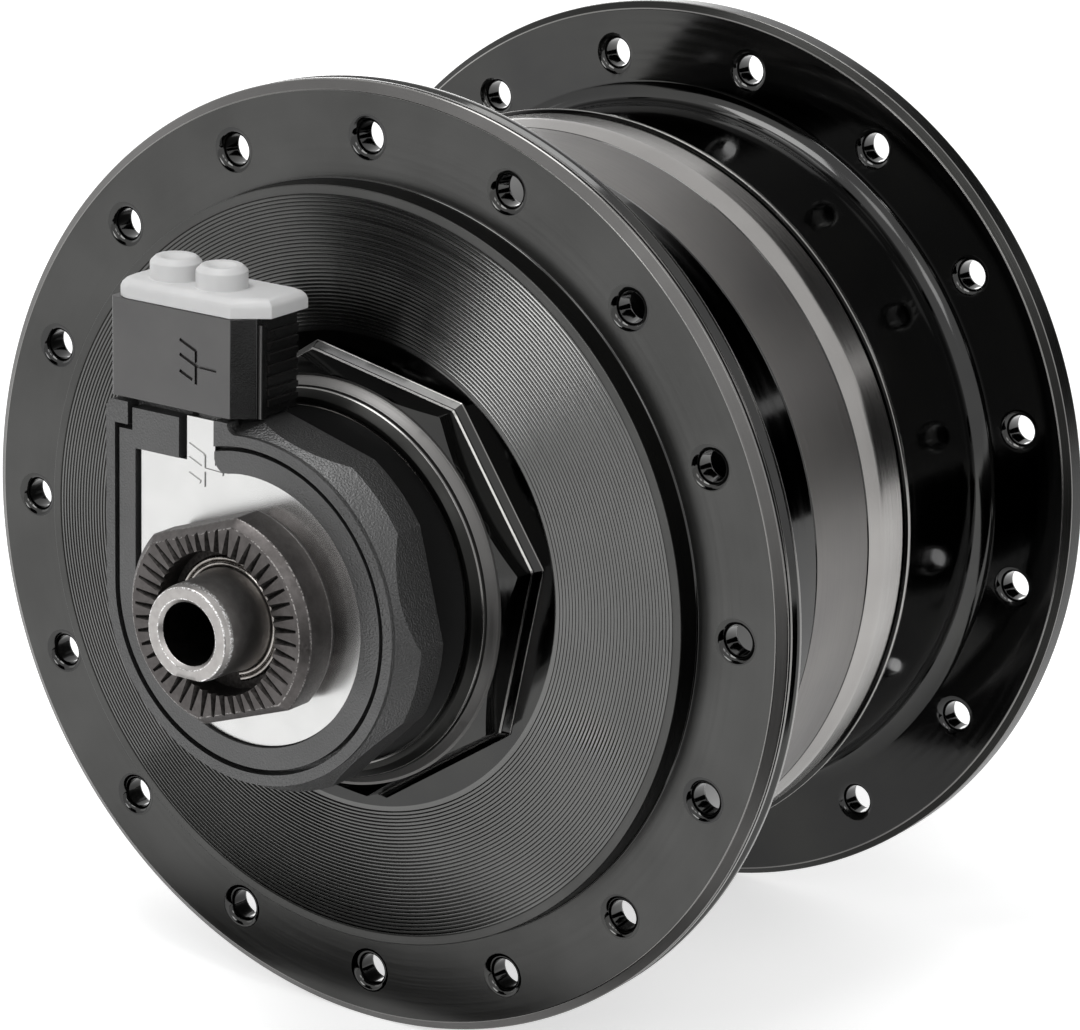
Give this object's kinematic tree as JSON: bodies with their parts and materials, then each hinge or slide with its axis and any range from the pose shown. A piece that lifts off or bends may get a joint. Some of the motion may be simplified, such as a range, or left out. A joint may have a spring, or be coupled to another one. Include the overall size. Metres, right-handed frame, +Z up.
{
  "type": "hub dynamo",
  "caption": "Bicycle front hub that makes current for the lights: spoked shell turning on a hollow axle with a plug connector at one end.",
  "frame": {"origin": "on the axle's centre line, midway between the two locknut faces and between the two flanges", "axes": "+Y along the axle away from the connector, +Z up through the connector's plug, +X to the right seen from the connector end"},
  "size_m": [0.09, 0.108, 0.09],
  "materials": {
    "axle": "dark, worn at the edges",
    "near_cone": "ground",
    "far_cone": "ground",
    "near_locknut": "blackened",
    "far_locknut": "blackened",
    "snap_ring": "bright wire",
    "far_spacer": "blackened",
    "stator_core": "bare",
    "near_yoke": "bare",
    "far_yoke": "bare",
    "bobbin": "natural",
    "coil": "enamelled copper wire",
    "coil_lead": "insulated wire",
    "connector_base": "fine grain",
    "inner_cover": "fine grain",
    "earth_plate": "pressed sheet",
    "signal_terminal": "pressed sheet",
    "hub_shell": "gloss black anodised",
    "near_flange": "satin black, fine turned",
    "plain_sleeve": "satin grey",
    "bearing_cap": "gloss black anodised",
    "flux_ring": "bare",
    "magnets": "ferrite",
    "near_cup": "ground",
    "far_cup": "ground",
    "near_seal": "black rubber",
    "far_dust_cap": "black rubber",
    "near_balls": "polished steel",
    "near_ball_cage": "pressed sheet",
    "far_balls": "polished steel",
    "far_ball_cage": "pressed sheet",
    "plug_body": "satin",
    "plug_cap": "light grey"
  },
  "bodies": {
    "axle_set": {"axle": "axle", "near_cone": "near_cone", "far_cone": "far_cone", "near_locknut": "near_locknut", "far_locknut": "far_locknut", "snap_ring": "snap_ring", "far_spacer": "far_spacer", "stator_core": "stator_core", "near_yoke": "near_yoke", "far_yoke": "far_yoke", "bobbin": "bobbin", "coil": "coil", "coil_lead": "coil_lead", "connector_base": "connector_base", "inner_cover": "inner_cover", "earth_plate": "earth_plate", "signal_terminal": "signal_terminal"},
    "shell": {"hub_shell": "hub_shell", "near_flange": "near_flange", "plain_sleeve": "plain_sleeve", "bearing_cap": "bearing_cap", "flux_ring": "flux_ring", "magnets": "magnets", "near_cup": "near_cup", "far_cup": "far_cup", "near_seal": "near_seal", "far_dust_cap": "far_dust_cap"},
    "near_race": {"near_balls": "near_balls", "near_ball_cage": "near_ball_cage"},
    "far_race": {"far_balls": "far_balls", "far_ball_cage": "far_ball_cage"},
    "plug": {"plug_body": "plug_body"},
    "plug_lid": {"plug_cap": "plug_cap"}
  },
  "joints": [
    {"name": "hub_spin", "type": "hinge", "parent": "axle_set", "child": "shell", "pos_m": [0, 0, 0], "axis": [0, 1, 0], "continuous": true},
    {"name": "near_race_spin", "type": "hinge", "parent": "axle_set", "child": "near_race", "pos_m": [0, -0.0283, 0], "axis": [0, 1, 0], "continuous": true},
    {"name": "far_race_spin", "type": "hinge", "parent": "axle_set", "child": "far_race", "pos_m": [0, 0.0312, 0], "axis": [0, 1, 0], "continuous": true},
    {"name": "plug_pull", "type": "slide", "parent": "axle_set", "child": "plug", "axis": [0, 0, 1], "range_m": [0, 0.012]},
    {"name": "lid_pull", "type": "slide", "parent": "plug", "child": "plug_lid", "axis": [0, 0, 1], "range_m": [0, 0.006]}
  ],
  "couplings": [
    {"joint": "near_race_spin", "follows": "hub_spin", "ratio": 0.5668},
    {"joint": "far_race_spin", "follows": "hub_spin", "ratio": 0.5956}
  ]
}
